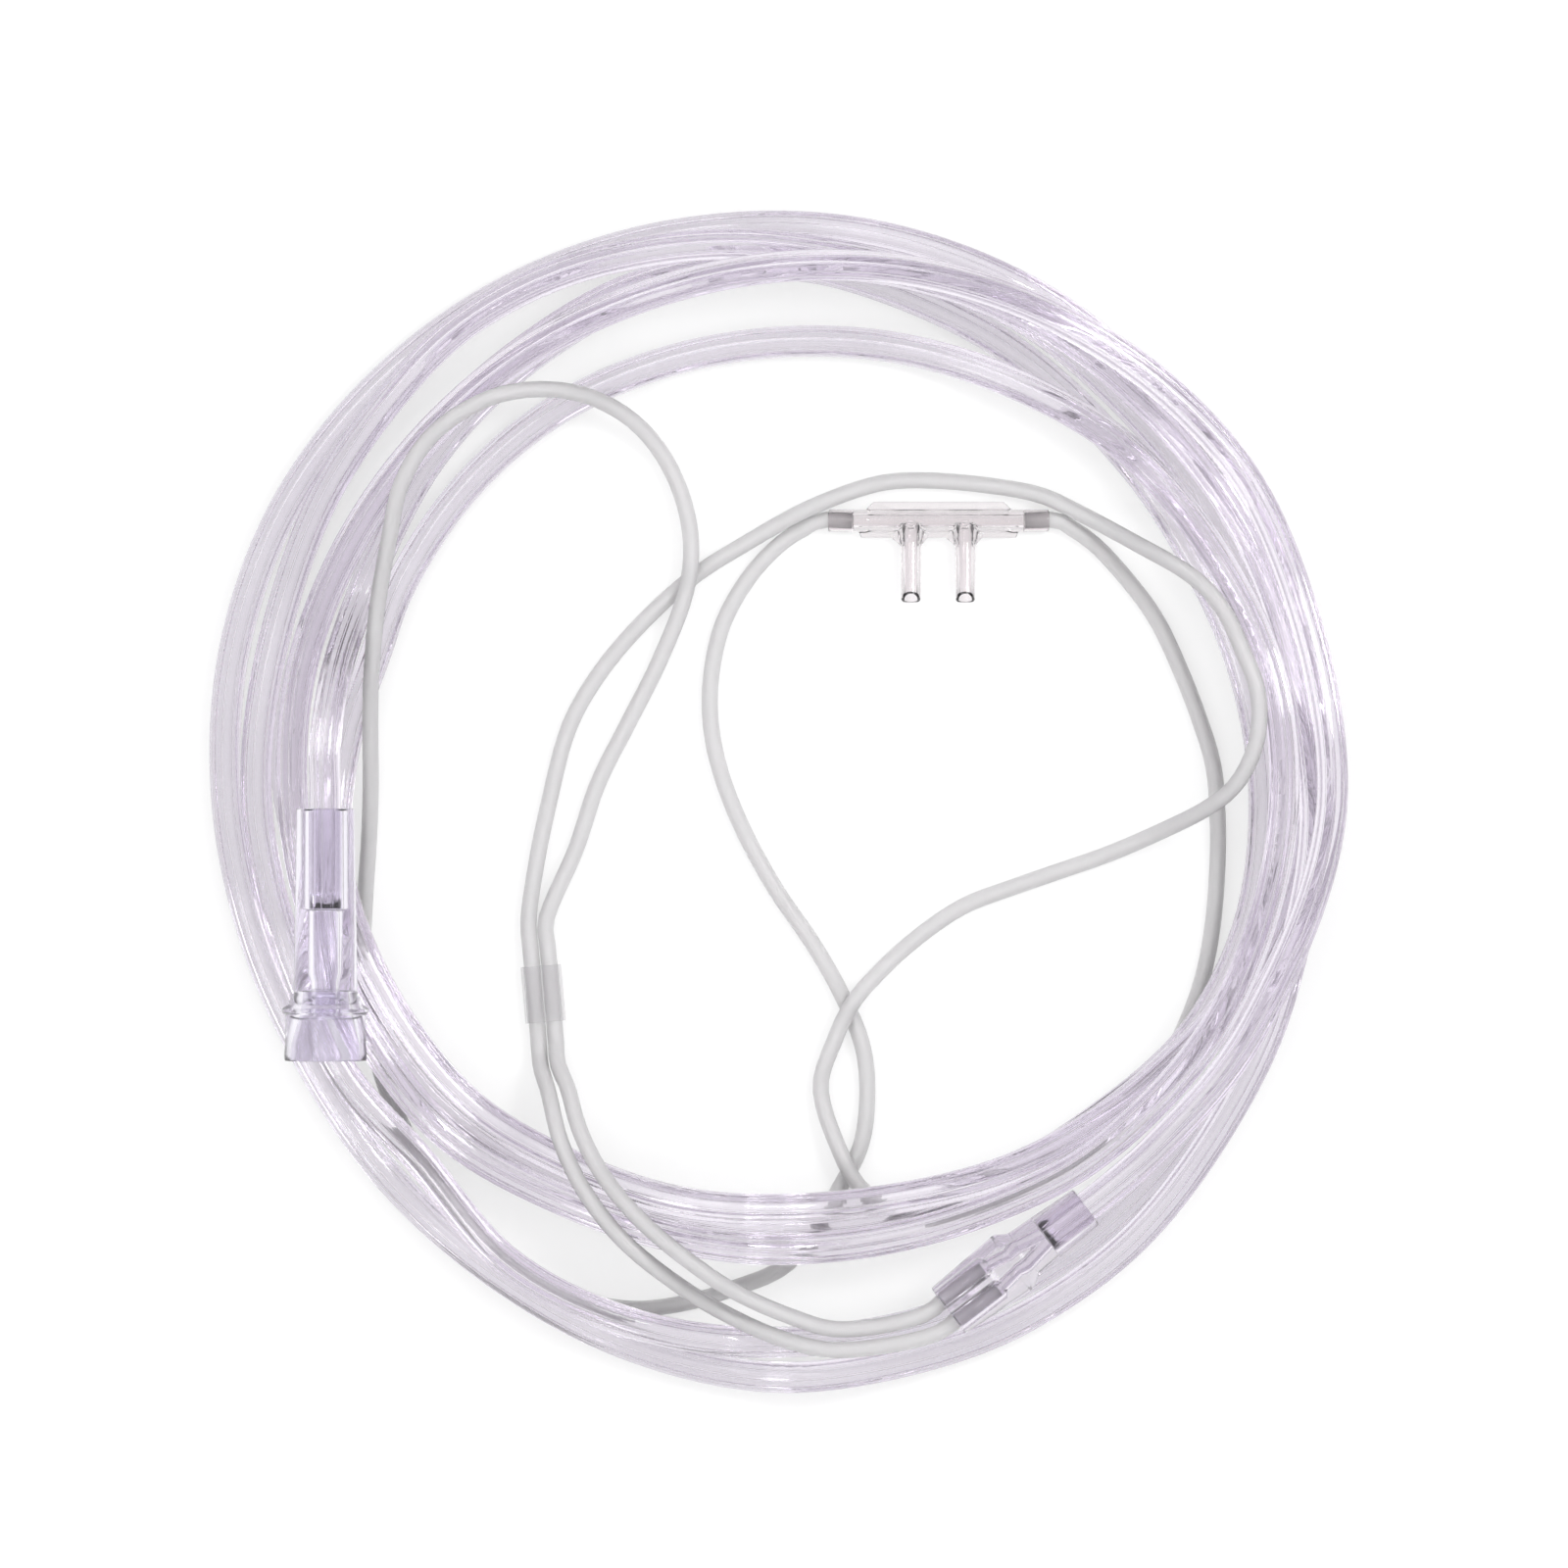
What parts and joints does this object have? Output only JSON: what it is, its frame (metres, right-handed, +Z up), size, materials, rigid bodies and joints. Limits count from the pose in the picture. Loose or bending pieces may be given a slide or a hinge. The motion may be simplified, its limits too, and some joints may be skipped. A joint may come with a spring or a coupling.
{
  "type": "nasal oxygen cannula",
  "caption": "Nasal oxygen cannula with soft prongs, twin lariat tubes, a slider, a twin connector and a long supply tube coiled flat, ending in a flared cup connector.",
  "frame": {"origin": "on the surface that the cannula lies on, under the middle of the coiled supply tube", "axes": "+Z up from the surface; the nosepiece lies along X, its prongs point to -Y, and the supply connector's cup opens to -Y"},
  "size_m": [0.2666, 0.2774, 0.039],
  "materials": {
    "clear_lilac_pvc": "clear, faintly lilac, star-ribbed bore",
    "milky_pvc": "milky translucent, smooth",
    "soft_clear_vinyl": "soft, clear, faintly pink-grey",
    "slider_vinyl": "clear, thin wall",
    "grey_clear_vinyl": "clear, grey-lilac, glossy",
    "violet_clear_vinyl": "clear, blue-violet at its edges, glossy"
  },
  "bodies": {
    "cannula": {"supply_tube": "clear_lilac_pvc", "lariat_left": "milky_pvc", "lariat_right": "milky_pvc", "nosepiece": "soft_clear_vinyl", "twin_connector": "grey_clear_vinyl", "supply_connector": "violet_clear_vinyl"},
    "slider": {"slider": "slider_vinyl"}
  },
  "joints": [
    {"name": "slider_slide", "type": "slide", "parent": "cannula", "child": "slider", "axis": [-0.0872, 0.9962, 0], "range_m": [-0.005, 0.005]}
  ]
}
